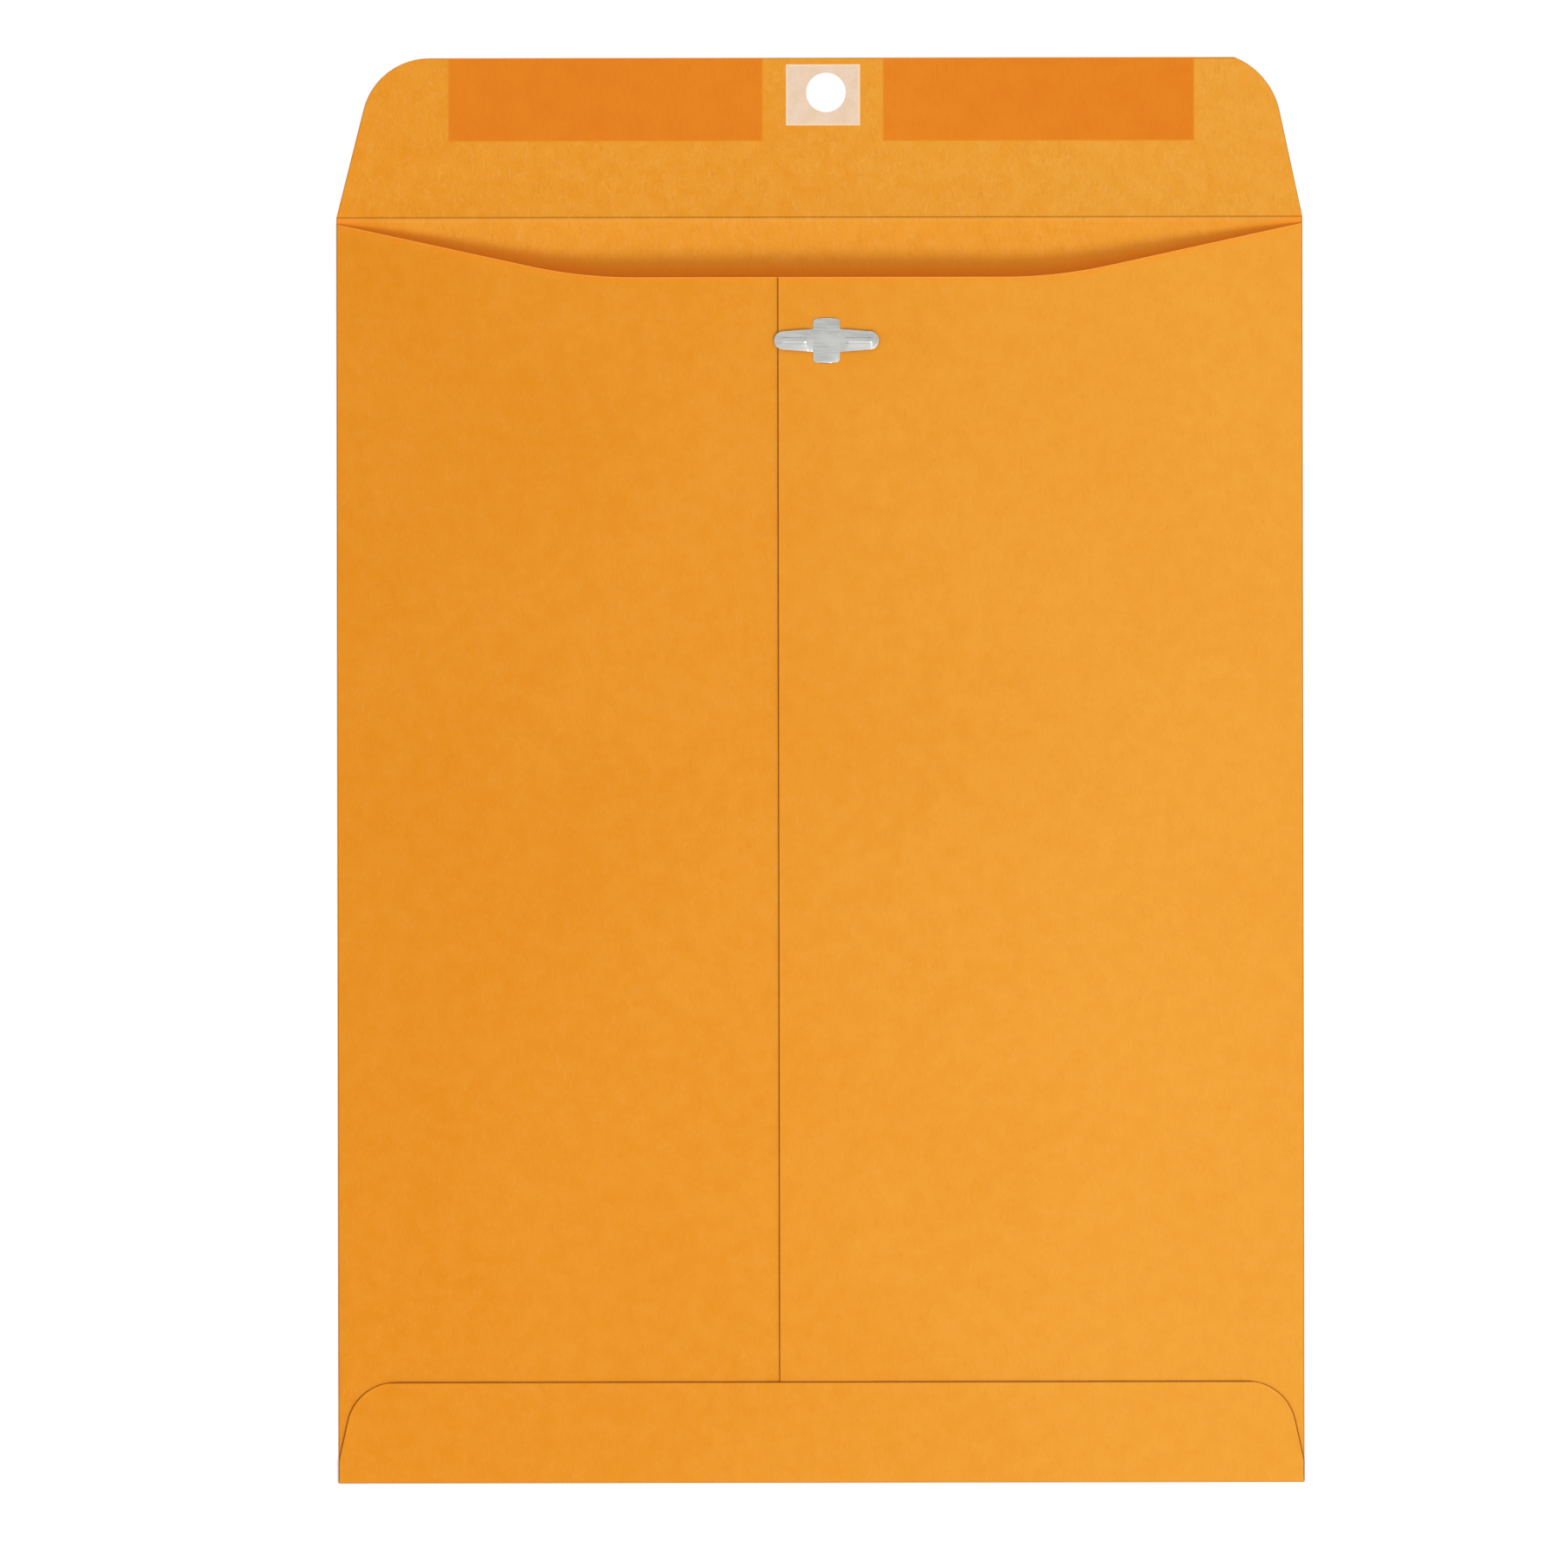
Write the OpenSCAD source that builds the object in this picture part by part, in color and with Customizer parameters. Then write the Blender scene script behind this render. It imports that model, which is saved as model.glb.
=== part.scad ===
// Open-end clasp envelope, folded and glued from one sheet of kraft paper.
// It lies on its address side with the flap open, so its back faces up.
// X runs across it, Y runs towards the flap and Z is up from the table.
// The origin is under the middle of the whole length, flap included.

/* [Pocket] */
// Width across the two side folds
pocket_w = 253; // [210:1:300]
// Height from the bottom fold to the crease of the flap
pocket_h = 331.5; // [300:0.5:380]
// Thickness of the kraft sheet
sheet_t = 0.14; // [0.1:0.01:0.2]
// Gap inside the pressed side folds
fold_gap = 0.3; // [0.2:0.05:0.5]
// Height of the cut corners between the bottom fold and the side folds
corner_cut = 1.2; // [1:0.1:2]

/* [Bow of the back] */
// Height that the back bows up in the middle
bow_rise = 8; // [6:0.5:12]
// Power of the curve that falls from the crown to the side folds
bow_power = 2.2; // [2:0.1:3]
// Flat of the crown on each side of the centre seam
crown_margin = 4; // [2:1:20]
// Distance below the crease at which the bow reaches its full height
bow_full = 165; // [140:5:200]

/* [Throat] */
// Drop of the throat below the crease at the side folds
throat_start = 1.8; // [1:0.1:3]
// Angle that the shoulders of the throat fall at
throat_angle = 12.5; // [10:0.5:15]
// Drop of the throat below the crease in the middle
throat_depth = 16; // [13:0.5:19]
// Half length of the round between a shoulder and the middle
throat_round = 14; // [8:1:18]

/* [Centre seam] */
// Width that the two back panels lap
lap_w = 22; // [16:1:28]
// Width that the upper panel takes to come down beside the lap
lap_ramp = 6; // [4:1:10]
// Thickness of each film of glue
glue_t = 0.05; // [0.03:0.01:0.08]
// Distance that the glue stops short of the edges of the paper
glue_margin = 2; // [1:0.5:4]

/* [Flap] */
// Depth of the open flap from its crease to its edge
flap_d = 41.7; // [38:0.1:46]
// Lean of the left side of the flap
flap_lean_left = 14.2; // [8:0.1:18]
// Lean of the right side of the flap
flap_lean_right = 12.1; // [8:0.1:18]
// Radius of the left corner of the flap
flap_corner_left = 17.7; // [12:0.1:20]
// Radius of the right corner of the flap
flap_corner_right = 19.5; // [12:0.1:22]
// Height that the right corner's arc would pass the edge which trims it
flap_trim_right = 1.4; // [0:0.1:2]
// Width of the score that the flap creases along
crease_w = 0.7; // [0.4:0.1:1]
// Depth of that score
crease_d = 0.05; // [0.03:0.01:0.07]

/* [Bottom flap] */
// Depth of the bottom flap from the bottom fold to its edge
bottom_d = 26.5; // [24:0.5:32]
// Height that its ends follow the side folds before they lean in
bottom_straight = 5.7; // [3:0.1:8]
// Lean of its ends
bottom_lean = 12.5; // [8:0.5:16]
// Radius of its corners
bottom_corner = 13; // [8:0.5:16]
// Reach of the bottom fold, from its outer edge to where the sheet lies flat
bottom_reach = 0.5; // [0.4:0.05:0.8]

/* [Gum] */
// Inner end of the left gum strip, from the middle
gum_left_start = 14.8; // [12:0.1:20]
// Length of the left gum strip
gum_left_l = 82.4; // [60:0.1:86]
// Inner end of the right gum strip, from the middle
gum_right_start = 16.7; // [13:0.1:22]
// Length of the right gum strip
gum_right_l = 81.5; // [60:0.1:86]
// Width of the strips from the edge of the flap inwards
gum_w = 21.8; // [18:0.1:26]
// Thickness of the dried gum
gum_t = 0.04; // [0.02:0.01:0.06]

/* [Clasp hole and patch] */
// Middle of the clasp hole in from the edge of the flap
hole_inset = 9.1; // [8:0.1:14]
// Offset of the hole and the clasp to the right of the middle
hole_x = 1.8; // [-3:0.1:3]
// Clear space round the upright prongs in the hole
hole_clear = 0.6; // [0.3:0.1:1.2]
// Width of the patch
patch_w = 19.4; // [17:0.1:24]
// Depth of the patch
patch_h = 16; // [15:0.1:18]
// Offset of the patch to the left of the hole
patch_shift = 0.8; // [0:0.1:1.5]
// Offset of the patch below the hole
patch_drop = 0.6; // [0:0.1:1]
// Thickness of the patch with its glue
patch_t = 0.06; // [0.04:0.01:0.1]

/* [Clasp] */
// Thickness of the tinned sheet metal
metal_t = 0.25; // [0.2:0.01:0.35]
// Width of the base between the bends of the two prongs
base_w = 7; // [5:0.1:8]
// Length of the base from one tooth to the other
base_l = 12; // [10:0.1:14]
// Radius of the corners of the base
base_corner = 1; // [0.5:0.1:1.4]
// Width of a prong where it leaves the base
prong_w = 6; // [5:0.1:7]
// Width of a prong across its round tip
tip_w = 4.8; // [4:0.1:5]
// Length of a prong from its bend to its tip
prong_l = 10.2; // [8:0.1:12]
// Height that the prongs stand over the back, above the base
prong_lift = 0.45; // [0.3:0.05:0.8]
// Length that a prong takes to climb to that height
prong_climb = 1.6; // [1.2:0.1:2.4]
// Width of the stiffening bead along each prong
bead_w = 1.5; // [1:0.1:2]
// Height of that bead
bead_h = 0.2; // [0.1:0.05:0.3]
// Width of a tooth
tooth_w = 3; // [2:0.1:4]
// Length that a tooth is clinched along the inside of the back
tooth_l = 2.6; // [2:0.1:4]
// Clear space round a tooth in its slit
slit_clear = 0.06; // [0.04:0.01:0.1]

/* [Smoothness] */
// Facets round a pressed fold
fold_steps = 8; // [4:2:12]
// Facets from the crown to a side fold
bow_steps = 16; // [8:1:24]
// Facets along the rise of the bow
rise_steps = 22; // [10:1:30]
// Facets along the climb of a prong
climb_steps = 6; // [3:1:10]

/* [Hidden] */
$fn = 96;
kraft = [0.90, 0.62, 0.24];
gum = [0.85, 0.50, 0.16];
patch = [0.93, 0.83, 0.72];
glue = [0.88, 0.80, 0.62];
tin = [0.78, 0.78, 0.76];
// Cuts pass the faces that they go through by this much
past = 1;
// Parts of one piece run into each other by this much, so that they are one solid
join = 0.3;

// Lengths along the envelope
bottom_y = -(pocket_h + flap_d) / 2;
crease_y = bottom_y + pocket_h;
bottom_line_y = bottom_y + bottom_reach;
wall_y = bottom_y + corner_cut;
bow_start_y = bottom_y + bottom_d + glue_margin;
bow_full_y = crease_y - bow_full;

// Side folds: a half round of the sheet about the gap
fold_r = sheet_t + fold_gap / 2;
fold_x = pocket_w / 2 - fold_r;
back_z = sheet_t + fold_gap;

// Centre seam
lap_half = lap_w / 2;
lap_lift = sheet_t + glue_t;
ramp_x = lap_half + lap_ramp;
crown_x = ramp_x + crown_margin;

// Places across the bottom flap where its height changes, each with the height of its
// underside
bottom_z = 2 * sheet_t + fold_gap + glue_t;
bottom_profile = [
    [-pocket_w / 2, bottom_z],
    [-ramp_x, bottom_z],
    [-lap_half, bottom_z + lap_lift],
    [lap_half, bottom_z + lap_lift],
    [ramp_x, bottom_z],
    [pocket_w / 2, bottom_z]];

// Clasp and its hole. The flap folds about the crease and lays the hole over the clasp.
hole_y = crease_y + flap_d - hole_inset;
clasp_y = 2 * crease_y - hole_y;
clasp_z = back_z + bow_rise + lap_lift + sheet_t;
bend_x = base_w / 2;
hole_d = 2 * norm([bend_x, prong_w / 2]) + 2 * hole_clear;
tooth_y = base_l / 2 - metal_t;
seam_t = 2 * sheet_t + glue_t;

// Drop of the throat below the crease, at a distance in from a side fold
function throat_drop(inset) =
    let (
        rise = tan(throat_angle),
        turn = (throat_depth - throat_start) / rise,
        beyond = inset - turn + throat_round
    )
    beyond <= 0 ? throat_start + inset * rise
    : beyond >= 2 * throat_round ? throat_depth
    : throat_depth - rise * pow(2 * throat_round - beyond, 2) / (4 * throat_round);

// Share of the bow across the envelope: 1 on the crown and 0 at a side fold
function bow_across(x) =
    1 - pow(max(0, abs(x) - crown_x) / (fold_x - crown_x), bow_power);

// Share of the bow along the envelope: 0 at the bottom flap and 1 where it is full
function bow_along(y) =
    let (part = min(1, max(0, (y - bow_start_y) / (bow_full_y - bow_start_y))))
    part * part * (3 - 2 * part);

// Height of the inside of the back
function back_height(x, y) = back_z + bow_rise * bow_across(x) * bow_along(y);

// Share of the lap's lift, which comes down beside the lap
function lap_share(x) = min(1, max(0, (ramp_x - abs(x)) / lap_ramp));

// Solid between two grids of points, which hold the outer and the inner face of a
// sheet row by row. Every cell is two triangles, so that bent cells stay plane.
module sheet_loft(outer, inner) {
    rows = len(outer);
    cols = len(outer[0]);
    ring = 2 * cols;
    points = [for (j = [0:rows - 1]) each concat(outer[j], [for (i = [cols - 1:-1:0]) inner[j][i]])];
    sides = [for (j = [0:rows - 2]) for (k = [0:ring - 1])
        let (
            a = j * ring + k,
            b = j * ring + (k + 1) % ring
        )
        each [[a, b, b + ring], [a, b + ring, a + ring]]];
    ends = [for (j = [0, rows - 1]) for (i = [0:cols - 2])
        let (
            a = j * ring + i,
            b = a + 1,
            c = j * ring + ring - 2 - i,
            d = c + 1
        )
        each j == 0 ? [[a, c, b], [a, d, c]] : [[a, b, c], [a, c, d]]];
    polyhedron(points, concat(sides, ends));
}

// Places across a side fold and its back panel, from the front panel round to the free
// edge. Each is the angle round the fold and the distance from the middle.
function wall_places(free_edge) = concat(
    [[-90, fold_x - join]],
    [for (i = [0:fold_steps]) [-90 + 180 * i / fold_steps, fold_x]],
    [for (i = [1:bow_steps]) [90, fold_x - (fold_x - crown_x) * i / bow_steps]],
    [for (x = free_edge) [90, x]]);

// Place along the wall: the rows rise to the full bow and end at the throat
function wall_y_at(row, x) =
    row == 0 ? wall_y
    : row <= rise_steps + 1 ? bow_start_y + (bow_full_y - bow_start_y) * (row - 1) / rise_steps
    : crease_y - throat_drop(fold_x - abs(x));

// A point of the wall, on its outer or inner face
function wall_point(place, row, radius, over) =
    let (
        angle = place[0],
        x = place[1],
        y = wall_y_at(row, x),
        lift = over ? lap_lift * lap_share(x) : 0,
        bow = angle < 90 ? 0 : back_height(x, y) - back_z + lift
    )
    [x + radius * cos(angle), y, fold_r + radius * sin(angle) + bow];

// Right side fold and back panel. The right one laps over the left one.
module side_wall(over) {
    places = wall_places(over ? [ramp_x, lap_half, -lap_half] : [lap_half, -lap_half]);
    rows = [0:rise_steps + 2];
    sheet_loft(
        [for (row = rows) [for (p = places) wall_point(p, row, fold_r, over)]],
        [for (row = rows) [for (p = places) wall_point(p, row, fold_r - sheet_t, over)]]);
}

// Fold from the front panel round into the bottom flap
module bottom_fold() {
    turns = concat([[-90, join]],
        [for (i = [0:fold_steps]) [-90 + 180 * i / fold_steps, 0]], [[90, join]]);
    sheet_loft(
        [for (p = bottom_profile) [for (t = turns) fold_point(p, t, 0)]],
        [for (p = bottom_profile) [for (t = turns) fold_point(p, t, sheet_t)]]);
}

// A point of the bottom fold, at a turn and a depth under its outer face. A turn is an
// angle and a length that the sheet then runs on.
function fold_point(place, turn, depth) =
    let (half_h = (place[1] + sheet_t) / 2)
    [
        place[0],
        bottom_line_y + turn[1] - (bottom_reach - depth) * cos(turn[0]),
        half_h + (half_h - depth) * sin(turn[0])
    ];

// Right half of a flap's outline, from its fold at y = 0 up to its free edge. The corner
// is an arc tangent to the leaning side, and the edge trims it where it would pass it.
module half_flap(half_w, depth, straight, lean, corner, trim) {
    centre_y = depth + trim - corner;
    centre_x = half_w - (centre_y - straight) * tan(lean) - corner / cos(lean);
    side = [centre_x + corner * cos(lean), centre_y + corner * sin(lean)];
    intersection() {
        union() {
            polygon([[0, 0], [half_w, 0], [half_w, straight], side, [centre_x, depth + trim],
                [0, depth + trim]]);
            translate([centre_x, centre_y]) circle(corner);
        }
        square([half_w, depth]);
    }
}

// Front panel and open flap, as one flat outline
module flat_outline() {
    translate([-pocket_w / 2, bottom_line_y]) square([pocket_w, wall_y - bottom_line_y]);
    translate([-fold_x, wall_y]) square([2 * fold_x, crease_y - throat_start - wall_y]);
    translate([-pocket_w / 2, crease_y - throat_start]) square([pocket_w, throat_start]);
    flap_outline();
}

// Open flap
module flap_outline() {
    translate([0, crease_y]) {
        half_flap(pocket_w / 2, flap_d, 0, flap_lean_right, flap_corner_right, flap_trim_right);
        mirror([1, 0])
            half_flap(pocket_w / 2, flap_d, 0, flap_lean_left, flap_corner_left, 0);
    }
}

// Bottom flap, which steps up over the lap of the centre seam
module bottom_flap() {
    bottom_layer(0, bottom_line_y, concat(
        bottom_profile,
        [for (i = [len(bottom_profile) - 1:-1:0]) bottom_profile[i] + [0, sheet_t]]));
}

// Layer with a given section across the envelope, inside the outline of the bottom flap
// drawn in by a margin, from a starting line up
module bottom_layer(margin, start_y, section) {
    intersection() {
        translate([0, bottom_line_y, 0]) linear_extrude(bow_rise)
            for (side = [0, 1]) mirror([side, 0])
                half_flap(pocket_w / 2 - margin, bottom_d - bottom_reach - margin,
                    bottom_straight - bottom_reach, bottom_lean, bottom_corner - margin, 0);
        translate([0, start_y, 0]) rotate([-90, 0, 0]) mirror([0, 1, 0])
            linear_extrude(bottom_d) polygon(section);
    }
}

// The whole sheet
module envelope_sheet() {
    color(kraft) difference() {
        union() {
            linear_extrude(sheet_t) flat_outline();
            side_wall(true);
            mirror([1, 0, 0]) side_wall(false);
            bottom_fold();
            bottom_flap();
        }
        clasp_hole();
        crease_score();
        clasp_slits();
    }
}

// Score across the sheet that the flap folds along
module crease_score() {
    translate([-pocket_w, crease_y, sheet_t]) rotate([90, 0, 90]) linear_extrude(2 * pocket_w)
        polygon([[-crease_w / 2, 0], [0, -crease_d], [crease_w / 2, 0], [0, crease_d]]);
}

// Slits through the lapped panels for the teeth of the clasp
module clasp_slits() {
    slit = [tooth_w + 2 * slit_clear, metal_t + 2 * slit_clear, seam_t + 2 * past];
    for (side = [-1, 1])
        translate([hole_x, clasp_y + side * (tooth_y + metal_t / 2), clasp_z - seam_t / 2])
            cube(slit, center = true);
}

// Dried gum along the edge of the flap, between two places across it
module gum_strip(from_x, to_x) {
    color(gum) translate([0, 0, sheet_t]) linear_extrude(gum_t) intersection() {
        flap_outline();
        translate([from_x, crease_y + flap_d - gum_w]) square([to_x - from_x, gum_w]);
    }
}

module gum_strip_left() {
    gum_strip(-gum_left_start - gum_left_l, -gum_left_start);
}

module gum_strip_right() {
    gum_strip(gum_right_start, gum_right_start + gum_right_l);
}

// Patch glued on the flap, with the clasp hole through it
module reinforcement_patch() {
    color(patch) difference() {
        translate([hole_x - patch_shift - patch_w / 2, hole_y - patch_drop - patch_h / 2, sheet_t])
            cube([patch_w, patch_h, patch_t]);
        clasp_hole();
    }
}

// Hole through the flap and the patch
module clasp_hole() {
    translate([hole_x, hole_y, -past]) cylinder(d = hole_d, h = sheet_t + patch_t + 2 * past);
}

// Film of glue between the lapped back panels
module seam_glue() {
    edge = lap_half - glue_margin;
    film = [for (row = [0:rise_steps + 2])
        let (y = row == 0 ? wall_y + glue_margin
            : row <= rise_steps + 1 ? wall_y_at(row, 0)
            : crease_y - throat_depth - glue_margin)
        [for (x = [edge, -edge]) [x, y, back_height(0, y) + sheet_t]]];
    color(glue) difference() {
        sheet_loft([for (row = film) [for (p = row) p + [0, 0, glue_t]]], film);
        clasp_slits();
    }
}

// Film of glue under the bottom flap, on the back panels and the lap between them
module bottom_flap_glue() {
    low = 2 * sheet_t + fold_gap;
    half_w = pocket_w / 2;
    color(glue) bottom_layer(glue_margin, wall_y + glue_margin, concat(
        [[-half_w, low], [-lap_half, low], [-lap_half, low + lap_lift]],
        [[lap_half, low + lap_lift], [ramp_x, low], [half_w, low]],
        [for (i = [len(bottom_profile) - 1:-1:0]) bottom_profile[i]]));
}

// Height of a prong over the back, at a distance from its bend
function prong_height(along) =
    let (part = min(1, along / prong_climb))
    prong_lift * part * part * (3 - 2 * part);

// Side view of the base and the two prongs
module clasp_section() {
    climb = [for (i = [0:climb_steps]) prong_climb * i / climb_steps];
    half = concat([for (x = climb) [bend_x + x, prong_height(x)]],
        [[bend_x + prong_l, prong_lift]]);
    low = concat([for (i = [len(half) - 1:-1:0]) [-half[i][0], half[i][1]]], half);
    polygon(concat(low, [for (i = [len(low) - 1:-1:0]) low[i] + [0, metal_t]]));
}

// Outline of the base and the two prongs, seen from above
module clasp_outline() {
    corner_x = bend_x - base_corner;
    corner_y = tooth_y - base_corner;
    square([2 * corner_x, 2 * tooth_y], center = true);
    square([base_w, 2 * corner_y], center = true);
    for (x = [-corner_x, corner_x]) for (y = [-corner_y, corner_y])
        translate([x, y]) circle(base_corner);
    tip_x = bend_x + prong_l - tip_w / 2;
    for (side = [0, 1]) mirror([side, 0]) {
        polygon([[0, -prong_w / 2], [bend_x, -prong_w / 2], [tip_x, -tip_w / 2],
            [tip_x, tip_w / 2], [bend_x, prong_w / 2], [0, prong_w / 2]]);
        translate([tip_x, 0]) circle(d = tip_w);
    }
}

// Stiffening bead along the right prong: the top of a round bar with ball ends, which
// stands out of a level face and reaches a little below it
module bead() {
    bar_r = (bead_w * bead_w / 4 + bead_h * bead_h) / (2 * bead_h);
    start = bend_x + prong_climb + bead_w / 2;
    stop = bend_x + prong_l - tip_w / 2;
    root = metal_t / 2;
    intersection() {
        translate([0, 0, bead_h - bar_r]) {
            translate([start, 0, 0]) rotate([0, 90, 0]) cylinder(r = bar_r, h = stop - start);
            for (x = [start, stop]) translate([x, 0, 0]) sphere(bar_r);
        }
        translate([start - bead_w, -bead_w, -root])
            cube([stop - start + 2 * bead_w, 2 * bead_w, bead_h + root]);
    }
}

// Tooth at the far end of the base: it runs on from the base, bends down through its slit
// and is clinched under the lap
module tooth() {
    rotate([90, 0, 90]) translate([0, 0, -tooth_w / 2]) linear_extrude(tooth_w) {
        translate([tooth_y - join, 0]) square([join, metal_t]);
        translate([tooth_y, -seam_t]) square([metal_t, seam_t]);
        translate([tooth_y, 0]) round_bend();
        translate([tooth_y, -seam_t]) mirror([0, 1]) round_bend();
        translate([tooth_y - tooth_l, -seam_t - metal_t]) square([tooth_l, metal_t]);
    }
}

// Quarter round at the outside of a tight bend of the metal
module round_bend() {
    intersection() {
        circle(metal_t);
        square(metal_t);
    }
}

// Clasp stamped from one piece of tinned sheet, with its prongs laid flat
module clasp() {
    color(tin) translate([hole_x, clasp_y, clasp_z]) {
        difference() {
            union() {
                intersection() {
                    translate([0, base_l, 0]) rotate([90, 0, 0]) linear_extrude(2 * base_l)
                        clasp_section();
                    linear_extrude(prong_lift + metal_t) clasp_outline();
                }
                for (side = [0, 1]) mirror([side, 0, 0])
                    translate([0, 0, prong_lift + metal_t]) bead();
            }
            for (side = [0, 1]) mirror([side, 0, 0]) translate([0, 0, prong_lift]) bead();
        }
        for (side = [0, 1]) mirror([0, side, 0]) tooth();
    }
}

envelope_sheet();
gum_strip_left();
gum_strip_right();
reinforcement_patch();
seam_glue();
bottom_flap_glue();
clasp();
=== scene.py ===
"""Looks of an open-end clasp envelope: one folded sheet of golden kraft paper with two
strips of dried gum, a patch round the clasp hole and a tinned clasp. It lies with its back
up and its flap open, seen from straight above. Lengths are in metres."""

import math

import bmesh
import bpy
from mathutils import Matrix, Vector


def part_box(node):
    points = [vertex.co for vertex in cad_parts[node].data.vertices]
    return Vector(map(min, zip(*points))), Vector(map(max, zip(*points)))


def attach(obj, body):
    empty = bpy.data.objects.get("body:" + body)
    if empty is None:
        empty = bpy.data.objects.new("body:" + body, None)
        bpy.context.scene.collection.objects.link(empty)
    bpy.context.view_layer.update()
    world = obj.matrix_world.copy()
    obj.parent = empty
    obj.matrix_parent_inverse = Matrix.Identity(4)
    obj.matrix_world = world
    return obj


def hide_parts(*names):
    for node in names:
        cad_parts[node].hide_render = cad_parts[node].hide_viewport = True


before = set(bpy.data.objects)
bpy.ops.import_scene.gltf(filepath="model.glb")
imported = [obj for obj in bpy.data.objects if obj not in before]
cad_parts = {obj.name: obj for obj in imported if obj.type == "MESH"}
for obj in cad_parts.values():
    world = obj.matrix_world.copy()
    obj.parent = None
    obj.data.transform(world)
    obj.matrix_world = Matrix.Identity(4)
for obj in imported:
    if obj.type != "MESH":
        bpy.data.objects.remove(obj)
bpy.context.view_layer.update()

MM = 0.001
BODY = "root"

# Picture: the width that it shows at the table, and the point under its middle
PICTURE_W = 410.7 * MM
PICTURE_MIDDLE = (-9.52 * MM, -3.58 * MM)
CAMERA_HEIGHT = 4.0
CAMERA_ROLL = math.radians(-0.1)
SENSOR_W = 36.0

# Studio: the lamp, the even light from all sides, and the white table. The table's glow for
# the camera goes from its first to its second value between two distances from the middle.
LAMP_PLACE = (1.0, -1.5, 2.2)
LAMP_SIZE = 0.8
LAMP_POWER = 28.0
ROOM_LIGHT = 0.76
TABLE_HALF = 12.0
TABLE_LEVEL = 238
TABLE_GLOW = (0.26, 0.37)
TABLE_GLOW_REACH = (0.3, 1.5)

# The sheet and its folds, as its maker cuts and folds it
sheet_low, sheet_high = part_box("envelope_sheet")
HALF_W = (sheet_high.x - sheet_low.x) / 2
BOTTOM_Y = sheet_low.y
SHEET_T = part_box("reinforcement_patch")[0].z
GLUE_T = 0.05 * MM
FLAP_D = 41.7 * MM
CREASE_Y = sheet_high.y - FLAP_D
CREASE_W = 0.7 * MM
FOLD_GAP = 0.3 * MM
FOLD_R = SHEET_T + FOLD_GAP / 2
FOLD_X = HALF_W - FOLD_R
WALL_Y = BOTTOM_Y + 1.2 * MM

# Bottom flap, measured from its fold
BOTTOM_D = 26.5 * MM
BOTTOM_REACH = 0.5 * MM
BOTTOM_LINE_Y = BOTTOM_Y + BOTTOM_REACH
BOTTOM_STRAIGHT = 5.7 * MM - BOTTOM_REACH

# Bowed back: where the bow starts and where it is full, the lap and the throat's start
BOW_START_Y = BOTTOM_Y + BOTTOM_D + 2 * MM
BOW_FULL_Y = CREASE_Y - 165 * MM
BOW_RISE = 8 * MM
LAP_HALF = 11 * MM
LAP_RAMP = 6 * MM
THROAT_START = 1.8 * MM

# Clasp hole, the clasp that it folds onto, and the slits for the clasp's teeth
HOLE_FROM_EDGE = 9.1 * MM
HOLE_X = 1.8 * MM
HOLE_Y = CREASE_Y + FLAP_D - HOLE_FROM_EDGE
CLASP_Y = 2 * CREASE_Y - HOLE_Y
CLASP_Z = SHEET_T + FOLD_GAP + BOW_RISE + 2 * SHEET_T + GLUE_T
SLIT = (3.12 * MM, 0.37 * MM, 2.4 * MM)
SLIT_PLACE = 5.875 * MM

# Stiffening bead of a prong: half its width, and its ends out from the clasp's middle
BEAD_HALF = 0.75 * MM
BEAD_START = 5.2 * MM
BEAD_STOP = 11.3 * MM

# Sizes that the sheet's node tree takes as its inputs. The power and the slope are plain
# numbers, and all others are lengths in metres.
SHEET_SIZES = {
    "Sheet Thickness": SHEET_T,
    "Glue Thickness": GLUE_T,
    "Fold Place": FOLD_X,
    "Fold Gap": FOLD_GAP,
    "Bow Rise": BOW_RISE,
    "Bow Power": 2.2,
    "Crown Half Width": LAP_HALF + LAP_RAMP + 4 * MM,
    "Throat Start": THROAT_START,
    "Throat Slope": math.tan(math.radians(12.5)),
    "Throat Depth": 16 * MM,
    "Throat Round": 14 * MM,
    "Lap Half Width": LAP_HALF,
    "Lap Ramp": LAP_RAMP,
    "Crease Width": CREASE_W,
    "Crease Depth": 0.05 * MM,
    "Ripple Height": 1.0 * MM,
    "Ripple Length": 60 * MM,
    "Ripple Fade At Crown": 24 * MM,
    "Ripple Fade At Fold": 36 * MM,
    "Ripple Fade At Bottom": 50 * MM,
    "Loose Edge Lift": 0.16 * MM,
    "Loose Edge Width": 2 * MM,
    "Loose Edge Start": 20 * MM,
    "Hole Radius": 5.21 * MM,
}

# Grid counts of the sheet, the distance that welds points, the length of a short row and
# the width of the rows along free edges
COLUMNS = 161
PANEL_COLUMNS = 57
PANEL_ROWS = 111
ARC_ROWS = 15
FOLD_STEPS = 13
WELD = 0.002 * MM
STEP = 0.05 * MM
RIM = 0.3 * MM


# Node helpers

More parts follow.
